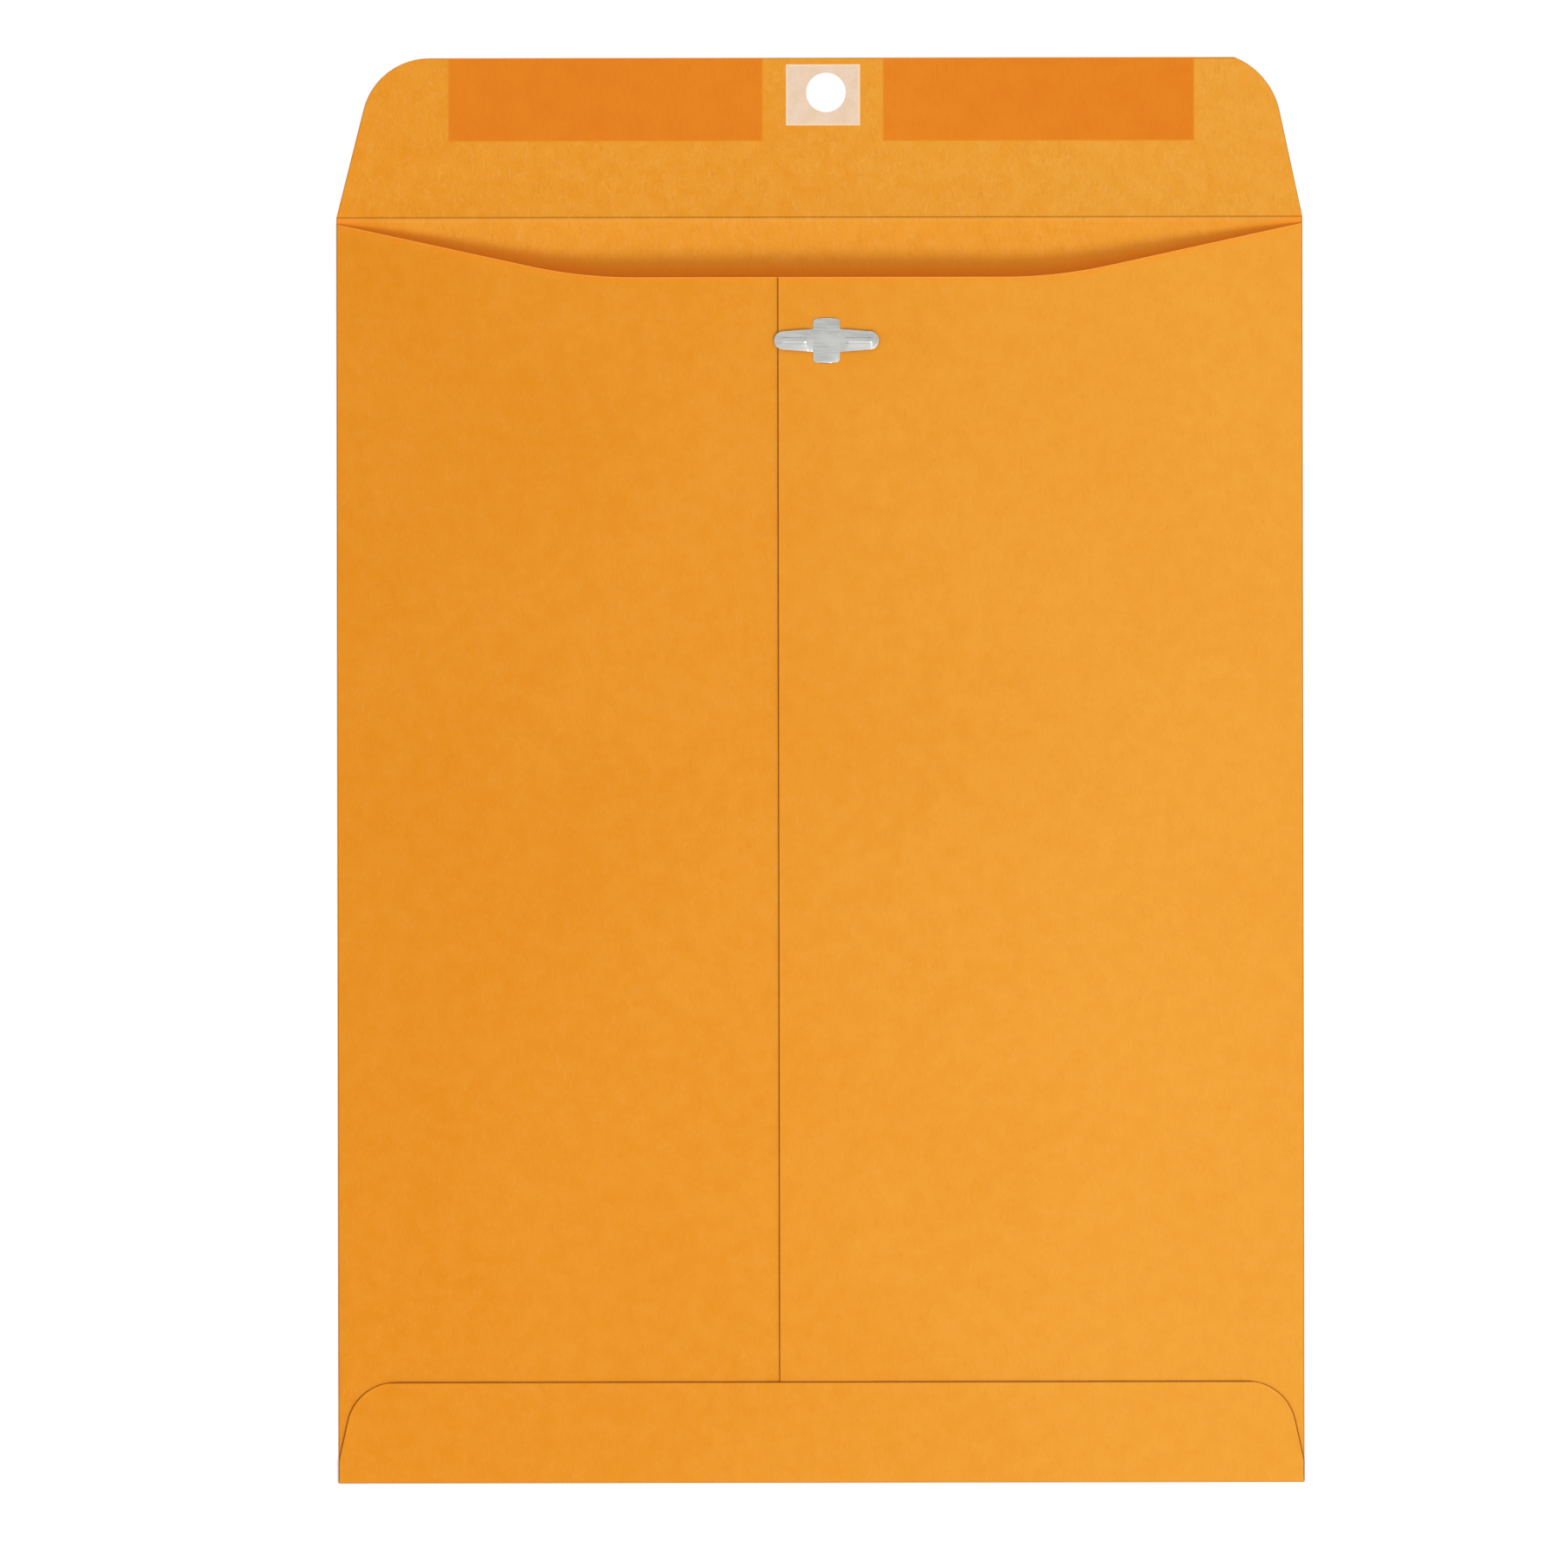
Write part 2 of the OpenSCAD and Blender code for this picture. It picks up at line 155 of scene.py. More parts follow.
class Term:
    """A number in a node tree. Sums, products and powers of terms become Math nodes."""

    def __init__(self, tree, socket):
        self.tree = tree
        self.socket = socket

    def math(self, operation, *others):
        """This term and others through one Math node."""
        made = add(self.tree, "ShaderNodeMath", operation=operation)
        for slot, value in zip(made.inputs, (self, *others)):
            feed(self.tree, slot, value)
        return Term(self.tree, made.outputs[0])

    def __add__(self, other):
        return self.math("ADD", other)

    def __sub__(self, other):
        return self.math("SUBTRACT", other)

    def __rsub__(self, other):
        return self * -1 + other

    def __mul__(self, other):
        return self.math("MULTIPLY", other)

    def __truediv__(self, other):
        return self.math("DIVIDE", other)

    def __pow__(self, other):
        return self.math("POWER", other)

    def __neg__(self):
        return self * -1

    def __abs__(self):
        return self.math("ABSOLUTE")

    __rmul__ = __mul__

    def at_least(self, other):
        """The larger of this term and another."""
        return self.math("MAXIMUM", other)

    def at_most(self, other):
        """The smaller of this term and another."""
        return self.math("MINIMUM", other)

    def clamped(self):
        """This term kept between 0 and 1."""
        return self.at_least(0.0).at_most(1.0)

    def over(self, other):
        """1 where this term is larger than another, and 0 elsewhere."""
        return self.math("GREATER_THAN", other)

    def ramp(self, start, stop, low=0.0, high=1.0):
        """A smooth step from low to high as this term goes from start to stop."""
        made = add(self.tree, "ShaderNodeMapRange", interpolation_type="SMOOTHSTEP")
        for slot, value in zip(made.inputs, (self, start, stop, low, high)):
            feed(self.tree, slot, value)
        return Term(self.tree, made.outputs[0])


def feed(tree, slot, value):
    """Links a term or a socket to an input, or sets the input to a plain value."""
    if isinstance(value, Term):
        value = value.socket
    if isinstance(value, bpy.types.NodeSocket):
        tree.links.new(value, slot)
    else:
        slot.default_value = value


def feed_all(tree, node, inputs):
    """Feeds inputs of a node by their names, in which an underscore stands for a space."""
    for name, value in inputs.items():
        feed(tree, node.inputs[name.replace("_", " ")], value)


def add(tree, kind, inputs=None, **settings):
    """A new node with its settings, and with its inputs by name or place."""
    made = tree.nodes.new(kind)
    for name, value in settings.items():
        setattr(made, name, value)
    for name, value in (inputs or {}).items():
        feed(tree, made.inputs[name], value)
    return made


def between(a, b, share):
    """A value between two, by a share from 0 to 1. The share is a term."""
    return share * (b - a) + a


def parts_of(tree, vector):
    """The three terms of a vector."""
    split = add(tree, "ShaderNodeSeparateXYZ", {0: vector})
    return [Term(tree, socket) for socket in split.outputs]


def joined(tree, x, y, z):
    """A vector of three terms."""
    return add(tree, "ShaderNodeCombineXYZ", {0: x, 1: y, 2: z}).outputs[0]


def flipped(tree, mesh):
    """A mesh with its faces turned over."""
    return add(tree, "GeometryNodeFlipFaces", {"Mesh": mesh}).outputs[0]


def gathered(tree, meshes):
    """Several meshes as one, with the points that share a place welded."""
    made = add(tree, "GeometryNodeJoinGeometry")
    for mesh in reversed(meshes):
        tree.links.new(mesh, made.inputs[0])
    welded = add(tree, "GeometryNodeMergeByDistance", {
        "Geometry": made.outputs[0], "Distance": WELD})
    return welded.outputs[0]


def marked(tree, mesh, name, value, domain="FACE"):
    """A mesh with a number stored on it under a name."""
    made = add(tree, "GeometryNodeStoreNamedAttribute", {
        "Geometry": mesh, "Name": name, "Value": value}, data_type="FLOAT", domain=domain)
    return made.outputs[0]


def open_group(name, kind, inputs, outputs):
    """A new node group. An input is a name, a kind of socket and a starting value, and an
    output is a name and a kind. Returns the group, its inputs by name and its output node."""
    group = bpy.data.node_groups.new(name, kind)
    for label, socket, *start in inputs:
        made = group.interface.new_socket(label, in_out="INPUT", socket_type=socket)
        if start:
            made.default_value = start[0]
    for label, socket in outputs:
        group.interface.new_socket(label, in_out="OUTPUT", socket_type=socket)
    entry = group.nodes.new("NodeGroupInput")
    end = group.nodes.new("NodeGroupOutput")
    return group, {socket.name: socket for socket in entry.outputs if socket.name}, end


def linear(red, green, blue):
    """The levels of a colour in a picture, 0 to 255, as Blender's linear colour."""
    shares = [level / 255 for level in (red, green, blue)]
    return [s / 12.92 if s <= 0.04045 else ((s + 0.055) / 1.055) ** 2.4 for s in shares] + [1.0]


# The folded sheet

class Corner:
    """One end of a flap: a side that leans in, and a round corner that the free edge may
    trim. Its places are measured from the middle and from the fold."""

    def __init__(self, depth, lean_deg, radius, straight=0.0, trim=0.0):
        self.lean = math.radians(lean_deg)
        self.radius = radius
        self.centre_y = depth + trim - radius
        self.centre_x = (HALF_W - (self.centre_y - straight) * math.tan(self.lean)
                         - radius / math.cos(self.lean))
        self.last = math.asin((depth - self.centre_y) / radius)
        self.side = (self.centre_x + radius * math.cos(self.lean),
                     self.centre_y + radius * math.sin(self.lean))

    def arc(self, share):
        """A point of the round corner, from its side at share 0 to the free edge at 1."""
        angle = share * (self.last - self.lean) + self.lean
        return (angle.math("COSINE") * self.radius + self.centre_x,
                angle.math("SINE") * self.radius + self.centre_y)

    def reach(self, y):
        """Half width of the leaning side at a distance from the fold."""
        return self.side[0] + (self.side[1] - y) * math.tan(self.lean)


class Sheet:
    """Builds the node tree that folds the sheet. Every patch of it is a grid whose points
    are set by a rule. The patches share their borders and make the inner face of the
    sheet, which is given the paper's thickness as one."""

    def __init__(self):
        numbers = [(name, "NodeSocketFloat", 0.0) for name in SHEET_SIZES]
        self.tree, given, self.end = open_group(
            "Folded Sheet", "GeometryNodeTree", numbers + [("Paper", "NodeSocketMaterial")],
            [("Geometry", "NodeSocketGeometry")])
        self.paper = given.pop("Paper")
        self.size = {name: Term(self.tree, socket) for name, socket in given.items()}
        self.patches = []

    def noise(self, x, y, length, layer):
        """Soft noise between -0.5 and 0.5, with bumps about as wide as length. Each use of
        it has a layer of its own."""
        spot = joined(self.tree, x / length, y / length, layer)
        made = add(self.tree, "ShaderNodeTexNoise", {
            "Vector": spot, "Scale": 1.0, "Detail": 1.0, "Roughness": 0.4})
        return Term(self.tree, made.outputs[0]) - 0.5

    def patch(self, columns, rows, rule, turned=False):
        """Adds a grid whose points are set by rule(u, v), with u and v from 0 to 1. The rule
        gives a place and an edge shading, which is above 0 where a free edge gets a painted
        shadow line and below 0 where it gets a painted highlight. The grid shows its inner face,
        unless it is turned."""
        grid = add(self.tree, "GeometryNodeMeshGrid", {
            "Size X": 1.0, "Size Y": 1.0, "Vertices X": columns, "Vertices Y": rows})
        place = add(self.tree, "GeometryNodeInputPosition")
        u, v, _ = parts_of(self.tree, place.outputs[0])
        *spot, edge_shading = rule(u + 0.5, v + 0.5)
        edge_shaded = marked(self.tree, grid.outputs[0], "painted_edge_shading", edge_shading, "POINT")
        laid = add(self.tree, "GeometryNodeSetPosition", {
            "Geometry": edge_shaded, "Position": joined(self.tree, *spot)}).outputs[0]
        self.patches.append(laid if turned else flipped(self.tree, laid))

    def band(self, rows, ends, height, dark=0.0, free_y=None):
        """Adds a patch right across the sheet. ends(v) gives the two points that a row runs
        between, and height(x, y, v, aside) its height, where aside is the distance from the
        nearer end. A narrow column lies at each end, and the next ones are a little closer than
        the middle ones. Its free ends, and a free edge at free_y, get a dark painted shadow line
        by a share."""
        def rule(u, v):
            (left_x, left_y), (right_x, right_y) = ends(v)
            spans = COLUMNS - 1
            side = ((u * spans - 1) / (spans - 2)).clamped() * 2 - 1
            share = side * (1.25 - 0.25 * side * side) * 0.5 + 0.5
            from_left = (u * spans).at_most(1.0) * RIM
            from_right = ((1 - u) * spans).at_most(1.0) * RIM
            x = between(from_left + left_x, right_x - from_right, share)
            y = between(left_y, right_y, share)
            aside = (x - left_x).at_most(right_x - x)
            edge = aside if free_y is None else aside.at_most(abs(y - free_y))
            return x, y, height(x, y, v, aside), near_edge(edge) * dark
        self.patch(COLUMNS, rows, rule)

    def flat_band(self, rows, start, stop, dark=0.0):
        """Adds a flat patch between two lines across the sheet. A line is the point at its
        left end and the point at its right end."""
        def ends(v):
            return [(between(low[0], high[0], v), between(low[1], high[1], v))
                    for low, high in zip(start, stop)]
        self.band(rows, ends, self.flat, dark)

    def flat(self, x, y, v, aside):
        """Height of the inner face where the sheet lies on the table."""
        return self.size["Sheet Thickness"]


def line(half_w, y):
    """The ends of a straight line across the middle of the sheet."""
    return (-half_w, y), (half_w, y)


def near_edge(distance):
    """1 at a free edge, falling to 0 at the inner side of its narrow rim."""
    return (1 - distance / RIM).at_least(0.0)


def up_pocket(v, top):
    """Place along the pocket at a share from its bottom corners to an end at top, with a
    narrow row at the end."""
    rows = PANEL_ROWS - 1
    return between(WALL_Y, top - RIM, v * (rows / (rows - 1))).at_most(top)


def lap_share(size, out):
    """Share of the lap's lift at a distance out from the lap's middle: 1 on the lap, and 0
    past the ramp beside it."""
    return ((size["Lap Half Width"] + size["Lap Ramp"] - out) / size["Lap Ramp"]).clamped()


def lap_lift(size):
    """Height that a layer is lifted by when it crosses the lap."""
    return size["Sheet Thickness"] + size["Glue Thickness"]


def loose_lift(size, distance):
    """Lift of the unglued margin of a lapped edge, at a distance in from the edge."""
    share = (1 - distance / size["Loose Edge Width"]).at_least(0.0)
    return share * share * size["Loose Edge Lift"]


def add_bottom_flap(sheet):
    """The bottom flap from its free edge to its fold, and the fold itself."""
    size = sheet.size
    paper = size["Sheet Thickness"]
    corner = Corner(BOTTOM_D - BOTTOM_REACH, lean_deg=12.5, radius=13 * MM,
                    straight=BOTTOM_STRAIGHT)

    def under(x):
        return (paper * 2 + size["Fold Gap"] + size["Glue Thickness"]
                + lap_lift(size) * lap_share(size, abs(x)))

    def height(x, y, v, aside):
        near = aside.at_most(BOTTOM_Y + BOTTOM_D - y)
        rise = loose_lift(size, near) * y.ramp(BOTTOM_LINE_Y, BOTTOM_LINE_Y + BOTTOM_STRAIGHT)
        waver = sheet.noise(x, y, size["Ripple Length"] * 0.25, layer=2.0)
        return under(x) + rise * (waver * 2 + 1)

    def arc_ends(v):
        x, y = corner.arc(1 - v)
        return line(x, y + BOTTOM_LINE_Y)

    def side_ends(v):
        return line(between(corner.side[0], HALF_W, v),
                    between(corner.side[1], BOTTOM_STRAIGHT, v) + BOTTOM_LINE_Y)

    def straight_ends(v):
        return line(HALF_W, between(BOTTOM_STRAIGHT, 0.0, v) + BOTTOM_LINE_Y)

    def fold_ends(v):
        out = (paper - BOTTOM_REACH) * ((0.5 - v) * math.pi).math("COSINE")
        return line(HALF_W, out + BOTTOM_LINE_Y)

    def fold_height(x, y, v, aside):
        middle = (under(x) + paper) / 2
        return middle + (middle - paper) * ((0.5 - v) * math.pi).math("SINE")

    # Painted shadow line along the bottom flap's free edges
    sheet.band(ARC_ROWS, arc_ends, height, dark=1.0, free_y=BOTTOM_Y + BOTTOM_D)
    sheet.band(7, side_ends, height, dark=1.0)
    sheet.band(5, straight_ends, height, dark=1.0)
    sheet.band(FOLD_STEPS, fold_ends, fold_height)


def add_front_and_flap(sheet):
    """The front panel and the open flap, which lie flat on the table."""
    left = Corner(FLAP_D, lean_deg=14.2, radius=17.7 * MM)
    right = Corner(FLAP_D, lean_deg=12.1, radius=19.5 * MM, trim=1.4 * MM)
    throat_side = CREASE_Y - THROAT_START
    score = CREASE_W / 2

    def pocket_ends(v):
        return line(FOLD_X, up_pocket(v, throat_side))

    def flap_line(y):
        return (-left.reach(y), CREASE_Y + y), (right.reach(y), CREASE_Y + y)

    def arc_ends(v):
        (left_x, left_y), (right_x, right_y) = left.arc(v), right.arc(v)
        return (-left_x, left_y + CREASE_Y), (right_x, right_y + CREASE_Y)

    tangents = ((-left.side[0], CREASE_Y + left.side[1]),
                (right.side[0], CREASE_Y + right.side[1]))
    sheet.flat_band(2, line(HALF_W, BOTTOM_LINE_Y), line(HALF_W, WALL_Y - STEP))
    sheet.flat_band(2, line(HALF_W, WALL_Y - STEP), line(FOLD_X, WALL_Y))
    sheet.band(PANEL_ROWS, pocket_ends, sheet.flat)
    sheet.flat_band(2, line(FOLD_X, throat_side), line(HALF_W, throat_side + STEP))
    sheet.flat_band(2, line(HALF_W, throat_side + STEP), line(HALF_W, CREASE_Y - score))
    sheet.flat_band(4, line(HALF_W, CREASE_Y - score), line(HALF_W, CREASE_Y))
    sheet.flat_band(4, line(HALF_W, CREASE_Y), flap_line(score))
    # Faint painted shadow line along the flap's free edges
    sheet.flat_band(12, flap_line(score), tangents, dark=0.3)
    sheet.band(ARC_ROWS, arc_ends, sheet.flat, dark=0.3, free_y=CREASE_Y + FLAP_D)


def throat_y(size, x):
    """The throat's edge at a place across: leaning shoulders and a rounded middle."""
    turn = (size["Throat Depth"] - size["Throat Start"]) / size["Throat Slope"]
    beyond = size["Fold Place"] - abs(x) - turn + size["Throat Round"]
    left_of_round = (size["Throat Round"] * 2 - beyond.at_least(0.0)).at_least(0.0)
    rise = left_of_round * left_of_round / (size["Throat Round"] * 4) + (-beyond).at_least(0.0)
    return CREASE_Y - (size["Throat Depth"] - size["Throat Slope"] * rise)


def back_height(sheet, x, y):
    """Height of the inner face of a back panel. It bows up from the folds and the bottom
    flap, with a faint ripple where nothing is glued to it."""
    size = sheet.size
    crown, fold = size["Crown Half Width"], size["Fold Place"]
    out = (abs(x) - crown).at_least(0.0) / (fold - crown)
    bow = size["Bow Rise"] * (1 - out ** size["Bow Power"]) * y.ramp(BOW_START_Y, BOW_FULL_Y)
    ripple = sheet.noise(x, y, size["Ripple Length"], layer=1.0) * size["Ripple Height"]
    free = (abs(x).ramp(crown, crown + size["Ripple Fade At Crown"])
            * abs(x).ramp(fold, fold - size["Ripple Fade At Fold"])
            * y.ramp(BOW_START_Y, size["Ripple Fade At Bottom"] + BOW_START_Y))
    return size["Sheet Thickness"] + size["Fold Gap"] + bow + ripple * free


def add_back_panel(sheet, side):
    """A side fold and its back panel. Side is 1 on the right, whose panel laps over the
    other and has a loose margin, and -1 on the left. The columns of a panel lie closer
    together toward its fold."""
    size = sheet.size

    def fold_rule(u, v):
        angle = (u - 0.5) * math.pi
        x = (size["Fold Place"] + size["Fold Gap"] / 2 * angle.math("COSINE")) * side
        y = up_pocket(v, throat_y(size, size["Fold Place"]))
        z = size["Fold Gap"] / 2 * angle.math("SINE") + FOLD_R
        return x, y, z, 0.0

    def panel_rule(u, v):
        spans = PANEL_COLUMNS - 1
        last = (u * spans - (spans - 1)).at_least(0.0)
        back = 1 - (1 - (u * (spans / (spans - 1))).at_most(1.0)) ** 1.5
        inward = between(size["Fold Place"], RIM - size["Lap Half Width"], back) - last * RIM
        x = inward * side
        top = throat_y(size, x)
        y = up_pocket(v, top)
        z = back_height(sheet, x, y)
        # Painted highlight along the throat's edge
        edge_shading = -near_edge(top - y)
        if side > 0:
            from_edge = x + size["Lap Half Width"]
            waver = sheet.noise(x, y, size["Ripple Length"] * 0.4, layer=3.0)
            loose = y.ramp(BOW_START_Y, size["Loose Edge Start"] + BOW_START_Y)
            z = z + lap_lift(size) * lap_share(size, x)
            z = z + loose_lift(size, from_edge) * (waver * 2 + 1) * loose
            # Painted shadow line along the lap's loose edge
            edge_shading = edge_shading + near_edge(from_edge)
        return x, y, z, edge_shading

    sheet.patch(FOLD_STEPS, PANEL_ROWS, fold_rule, turned=side < 0)
    sheet.patch(PANEL_COLUMNS, PANEL_ROWS, panel_rule, turned=side < 0)


def thickened(sheet):
    """The patches as one closed sheet of the paper's thickness, with its cut edges and its
    inner face marked."""
    tree = sheet.tree
    inner = gathered(tree, sheet.patches)
    outer = add(tree, "GeometryNodeExtrudeMesh", {
        "Mesh": inner, "Offset Scale": sheet.size["Sheet Thickness"], "Individual": False})
    edged = marked(tree, outer.outputs["Mesh"], "cut_edge", outer.outputs["Side"])
    inside = marked(tree, flipped(tree, inner), "inner_face", 1.0)
    return gathered(tree, [edged, inside])


def scored(sheet, mesh):
    """A sheet with the score of the crease pressed into its inner face."""
    tree, size = sheet.tree, sheet.size
    place = add(tree, "GeometryNodeInputPosition")
    _, y, z = parts_of(tree, place.outputs[0])
    near = (1 - abs(y - CREASE_Y) * 2 / size["Crease Width"]).at_least(0.0)
    level = abs(z - size["Sheet Thickness"]).math("LESS_THAN", WELD)
    pressed = add(tree, "GeometryNodeSetPosition", {
        "Geometry": mesh,
        "Offset": joined(tree, 0.0, 0.0, -(near * level * size["Crease Depth"]))})
    return pressed.outputs[0]


def moved_cutter(tree, mesh, place):
    """A cutter moved to its place, with its walls marked as cut edges."""
    moved = add(tree, "GeometryNodeTransform", {"Geometry": mesh, "Translation": place})
    return marked(tree, moved.outputs[0], "cut_edge", 1.0)


def pierced(sheet, mesh):
    """A sheet with the clasp hole and the two slits for the clasp's teeth cut through."""
    tree = sheet.tree
    punch = add(tree, "GeometryNodeMeshCylinder", {
        "Vertices": 128, "Radius": sheet.size["Hole Radius"], "Depth": 4 * MM})
    cutters = [moved_cutter(tree, punch.outputs["Mesh"], (HOLE_X, HOLE_Y, 0.0))]
    for way in (-1, 1):
        blade = add(tree, "GeometryNodeMeshCube", {"Size": SLIT})
        place = (HOLE_X, CLASP_Y + way * SLIT_PLACE, CLASP_Z - SHEET_T)
        cutters.append(moved_cutter(tree, blade.outputs["Mesh"], place))
    cut = add(tree, "GeometryNodeMeshBoolean", {"Mesh 1": mesh},
              operation="DIFFERENCE", solver="MANIFOLD")
    for cutter in cutters:
        tree.links.new(cutter, cut.inputs["Mesh 2"])
    return cut.outputs[0]


def close_sheet(sheet):
    """Turns the patches into the finished sheet, and ends the tree."""
    tree = sheet.tree
    mesh = pierced(sheet, scored(sheet, thickened(sheet)))
    smooth = add(tree, "GeometryNodeSetShadeSmooth", {"Geometry": mesh})
    real = add(tree, "GeometryNodeRealizeInstances", {"Geometry": smooth.outputs[0]})
    finished = add(tree, "GeometryNodeSetMaterial", {
        "Geometry": real.outputs[0], "Material": sheet.paper})
    tree.links.new(finished.outputs[0], sheet.end.inputs[0])


# Making objects

def new_object(name, data):
    """A new object in the scene, at the origin."""
    made = bpy.data.objects.new(name, data)
    bpy.context.scene.collection.objects.link(made)
    return made


def finished_mesh(piece, modifier):
    """Gives a piece the plain mesh that its modifier makes, and removes the modifier."""
    seen = piece.evaluated_get(bpy.context.evaluated_depsgraph_get())
    mesh = bpy.data.meshes.new_from_object(seen)
    piece.modifiers.remove(modifier)
    piece.data = mesh
    mesh.name = piece.name
    return mesh


def fold_sheet(paper):
    """The sheet, cut and folded from one piece of paper."""
    sheet = Sheet()
    add_bottom_flap(sheet)
    add_front_and_flap(sheet)
    add_back_panel(sheet, 1)
    add_back_panel(sheet, -1)
    close_sheet(sheet)
    piece = new_object("folded_sheet", bpy.data.meshes.new("folded_sheet_blank"))
    folding = piece.modifiers.new("Folding", "NODES")
    folding.node_group = sheet.tree
    for item in sheet.tree.interface.items_tree:
        if item.in_out == "INPUT":
            folding[item.identifier] = SHEET_SIZES.get(item.name, paper)
    mesh = finished_mesh(piece, folding)
    mesh.set_sharp_from_angle(angle=math.radians(35))
    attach(piece, BODY)
    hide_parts("envelope_sheet")


def stamp_clasp(metal):
    """The clasp with slightly rounded edges, as a stamped and tumbled piece has them."""
    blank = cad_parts["clasp"].data.copy()
    blank.name = "clasp_blank"
    shape = bmesh.new()
    shape.from_mesh(blank)
    bmesh.ops.remove_doubles(shape, verts=shape.verts, dist=0.0005 * MM)
    bmesh.ops.dissolve_limit(shape, angle_limit=math.radians(0.5), verts=shape.verts,
                             edges=shape.edges)
    shape.to_mesh(blank)
    shape.free()
    piece = new_object("stamped_clasp", blank)
    rounding = piece.modifiers.new("Rounding", "BEVEL")
    rounding.width = 0.035 * MM
    rounding.segments = 2
    rounding.limit_method = "ANGLE"
    rounding.angle_limit = math.radians(50)
    mesh = finished_mesh(piece, rounding)
    mesh.materials.clear()
    mesh.materials.append(metal)
    mesh.shade_smooth()
    mesh.set_sharp_from_angle(angle=math.radians(40))
    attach(piece, BODY)
    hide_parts("clasp")


# Shader groups

def fibre_group():
    """Short bent paper fibres that lie all ways, most of them along the sheet: shares of
    pale and of dark ones, and their relief."""
    group, given, end = open_group("Paper Fibres", "ShaderNodeTree", [
        ("Place", "NodeSocketVector"),
        ("Fibre Width", "NodeSocketFloat", 0.35 * MM),
        ("Fibre Length", "NodeSocketFloat", 2.4 * MM)],
        [("Pale", "NodeSocketFloat"), ("Dark", "NodeSocketFloat"), ("Relief", "NodeSocketFloat")])
    width, length = Term(group, given["Fibre Width"]), Term(group, given["Fibre Length"])
    x, y, z = parts_of(group, given["Place"])

    def fibres(degrees, layer):
        turn = math.radians(degrees)
        over = (x * math.cos(turn) + y * math.sin(turn)) / width
        along = (y * math.cos(turn) - x * math.sin(turn)) / length
        made = add(group, "ShaderNodeTexNoise", {
            "Vector": joined(group, over, along, z / width + layer),
            "Scale": 1.0, "Detail": 1.0, "Roughness": 0.5, "Distortion": 0.4})
        return Term(group, made.outputs[0])

    upright = [fibres(-9.0, 0.0), fibres(14.0, 7.0)]
    leaning = [fibres(52.0, 13.0), fibres(-61.0, 19.0)]
    pale = upright[0].at_least(leaning[0] * 0.94).at_least(leaning[1] * 0.94)
    feed(group, end.inputs["Pale"], pale.ramp(0.56, 0.8))
    feed(group, end.inputs["Dark"], upright[1].ramp(0.54, 0.8))
    feed(group, end.inputs["Relief"], (upright[0] + upright[1] + leaning[0] + leaning[1]) / 4)
    return group


def cloud_group():
    """Cloudy unevenness of paper from 0 to 1, at a size and at twelve times that size."""
    group, given, end = open_group("Paper Clouds", "ShaderNodeTree", [
        ("Place", "NodeSocketVector"), ("Cloud Size", "NodeSocketFloat", 5 * MM)],
        [("Cloud", "NodeSocketFloat"), ("Drift", "NodeSocketFloat")])
    size = Term(group, given["Cloud Size"])

    def clouds(width, detail):
        scaled = add(group, "ShaderNodeVectorMath", {
            "Vector": given["Place"], "Scale": width ** -1.0}, operation="SCALE")
        made = add(group, "ShaderNodeTexNoise", {
            "Vector": scaled.outputs[0], "Scale": 1.0, "Detail": detail, "Roughness": 0.55})
        return Term(group, made.outputs[0]).ramp(0.3, 0.7)

    feed(group, end.inputs["Cloud"], clouds(size, 3.0))
    feed(group, end.inputs["Drift"], clouds(size * 12, 1.0))
    return group


def rim_group():
    """0 on the outline of a rectangle, rising to 1 at the inner side of its rim."""
    group, given, end = open_group("Rectangle Rim", "ShaderNodeTree", [
        ("Place", "NodeSocketVector"), ("Low Corner", "NodeSocketVector"),
        ("High Corner", "NodeSocketVector"), ("Rim Width", "NodeSocketFloat", 0.5 * MM)],
        [("Inside", "NodeSocketFloat")])
    x, y, _ = parts_of(group, given["Place"])
    low_x, low_y, _ = parts_of(group, given["Low Corner"])
    high_x, high_y, _ = parts_of(group, given["High Corner"])
    nearest = (x - low_x).at_most(high_x - x).at_most((y - low_y).at_most(high_y - y))
    feed(group, end.inputs["Inside"], nearest.ramp(0.0, Term(group, given["Rim Width"])))
    return group


GROUPS = {"fibres": fibre_group(), "clouds": cloud_group(), "rim": rim_group()}


# Finishes

